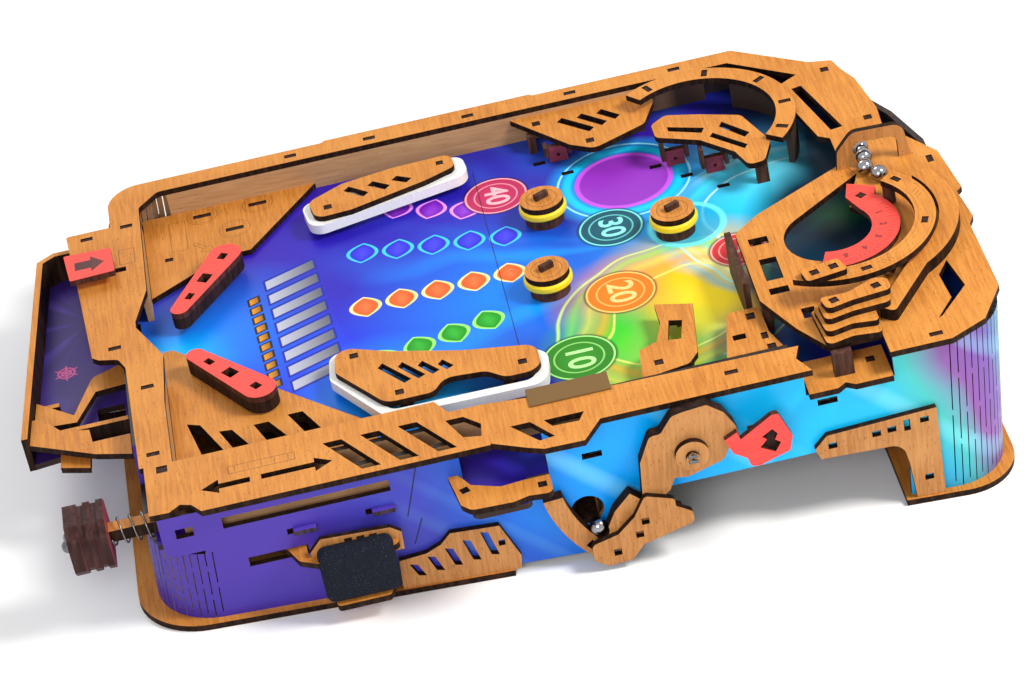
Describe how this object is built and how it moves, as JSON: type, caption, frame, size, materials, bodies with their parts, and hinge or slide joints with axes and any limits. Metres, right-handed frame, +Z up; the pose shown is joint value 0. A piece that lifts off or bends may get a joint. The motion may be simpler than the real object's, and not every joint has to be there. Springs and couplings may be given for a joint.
{
  "type": "bagatelle_board_game",
  "caption": "Table-top bagatelle game: laser-cut plywood case on a tilted deck with flippers, bumpers, plunger, swinging targets and a side ball lift",
  "frame": {"origin": "centre of the underside of the bounding box, on the table under the base plates", "axes": "+Y runs from the player to the back of the game, +X to the player's right, +Z up from the table"},
  "size_m": [0.317, 0.446, 0.1053],
  "materials": {
    "wood_ochre": "satin",
    "wood_bare": "matte",
    "print_side": "satin",
    "print_field": "satin",
    "wood_red": "satin",
    "wood_maroon": "satin",
    "wood_dark": "matte",
    "band_white": "matte",
    "band_yellow": "matte",
    "foam_black": "matte",
    "steel": "polished",
    "spring_steel": "satin"
  },
  "bodies": {
    "cabinet": {"base_plates": "wood_bare", "panel_right_front": "print_side", "panel_right_middle": "print_side", "panel_right_rear": "print_side", "panel_left_front": "print_side", "panel_left_rear": "print_side", "panel_back": "print_side", "panel_front": "print_side", "side_foot_plates": "wood_ochre", "playfield_boards": "print_field", "cross_ribs": "wood_bare", "ball_chutes": "wood_bare", "rim_front": "wood_ochre", "rim_left": "wood_ochre", "rim_start": "wood_ochre", "rim_right": "wood_ochre", "bonus_plate": "wood_ochre", "corner_plate": "wood_ochre", "inner_walls": "wood_bare", "aprons": "wood_ochre", "slingshot_plates": "wood_ochre", "slingshot_bands": "band_white", "bumper_caps": "wood_ochre", "bumper_rings": "band_yellow", "bumper_posts": "wood_dark", "deflector_plate": "wood_ochre", "loop_arch": "wood_ochre", "target_cover": "wood_ochre", "support_posts": "wood_dark", "score_gauge": "wood_red", "return_cover": "wood_ochre", "outer_rail": "wood_ochre", "wavy_blocks": "wood_ochre", "gate_hoop": "wood_ochre", "deck_brackets": "wood_ochre", "end_plate": "wood_ochre", "lane_bracket": "wood_ochre", "lift_channel": "wood_ochre", "lift_pivot": "wood_dark", "tray_floor": "print_field", "tray_walls": "wood_ochre", "steel_balls": "steel"},
    "flipper_left": {"flipper_left": "wood_bare", "flipper_left_top": "wood_red"},
    "flipper_right": {"flipper_right": "wood_bare", "flipper_right_top": "wood_red"},
    "button_left": {"button_left": "wood_ochre", "pad_left": "foam_black"},
    "button_right": {"button_right": "wood_ochre", "pad_right": "foam_black"},
    "plunger": {"plunger_rod": "wood_ochre", "plunger_knob": "wood_maroon", "plunger_spring": "spring_steel"},
    "ball_lift": {"lift_lever": "wood_ochre", "lift_tab": "wood_red", "lift_ball": "steel"},
    "target_left": {"target_left": "wood_maroon"},
    "target_middle": {"target_middle": "wood_maroon"},
    "target_right": {"target_right": "wood_maroon"},
    "reset_slider": {"reset_slider": "wood_red"}
  },
  "joints": [
    {"name": "flipper_left", "type": "hinge", "parent": "cabinet", "child": "flipper_left", "pos_m": [-0.0725, -0.11767, 0.05317], "axis": [0, -0.0628, 0.998], "range_deg": [0, 50], "stiffness_Nm_per_rad": 0.002},
    {"name": "flipper_right", "type": "hinge", "parent": "cabinet", "child": "flipper_right", "pos_m": [0.0445, -0.11168, 0.05354], "axis": [0, 0.0628, -0.998], "range_deg": [0, 50], "stiffness_Nm_per_rad": 0.002},
    {"name": "button_left", "type": "slide", "parent": "cabinet", "child": "button_left", "axis": [1, 0, 0], "range_m": [0, 0.00592], "stiffness_N_per_m": 120, "springref_m": -0.002},
    {"name": "button_right", "type": "slide", "parent": "cabinet", "child": "button_right", "axis": [-1, 0, 0], "range_m": [0, 0.00592], "stiffness_N_per_m": 120, "springref_m": -0.002},
    {"name": "plunger", "type": "slide", "parent": "cabinet", "child": "plunger", "axis": [0, -0.998, -0.0628], "range_m": [0, 0.03], "stiffness_N_per_m": 150, "springref_m": -0.003},
    {"name": "ball_lift", "type": "hinge", "parent": "cabinet", "child": "ball_lift", "pos_m": [0.1305, 0.06959, 0.05493], "axis": [-1, 0, 0], "range_deg": [0, 45]},
    {"name": "target_left", "type": "hinge", "parent": "cabinet", "child": "target_left", "pos_m": [-0.1085, 0.05078, 0.06727], "axis": [0, 0.998, 0.0628], "range_deg": [0, 50]},
    {"name": "target_middle", "type": "hinge", "parent": "cabinet", "child": "target_middle", "pos_m": [-0.0815, 0.10467, 0.07066], "axis": [0, 0.998, 0.0628], "range_deg": [0, 50]},
    {"name": "target_right", "type": "hinge", "parent": "cabinet", "child": "target_right", "pos_m": [-0.0675, 0.12164, 0.07173], "axis": [0, 0.998, 0.0628], "range_deg": [0, 50]},
    {"name": "reset_slider", "type": "slide", "parent": "cabinet", "child": "reset_slider", "axis": [0, 0.998, 0.0628], "range_m": [0, 0.008], "stiffness_N_per_m": 40, "springref_m": -0.004}
  ],
  "couplings": [
    {"joint": "flipper_left", "follows": "button_left", "rad_per_m": 147.3},
    {"joint": "flipper_right", "follows": "button_right", "rad_per_m": 147.3}
  ]
}
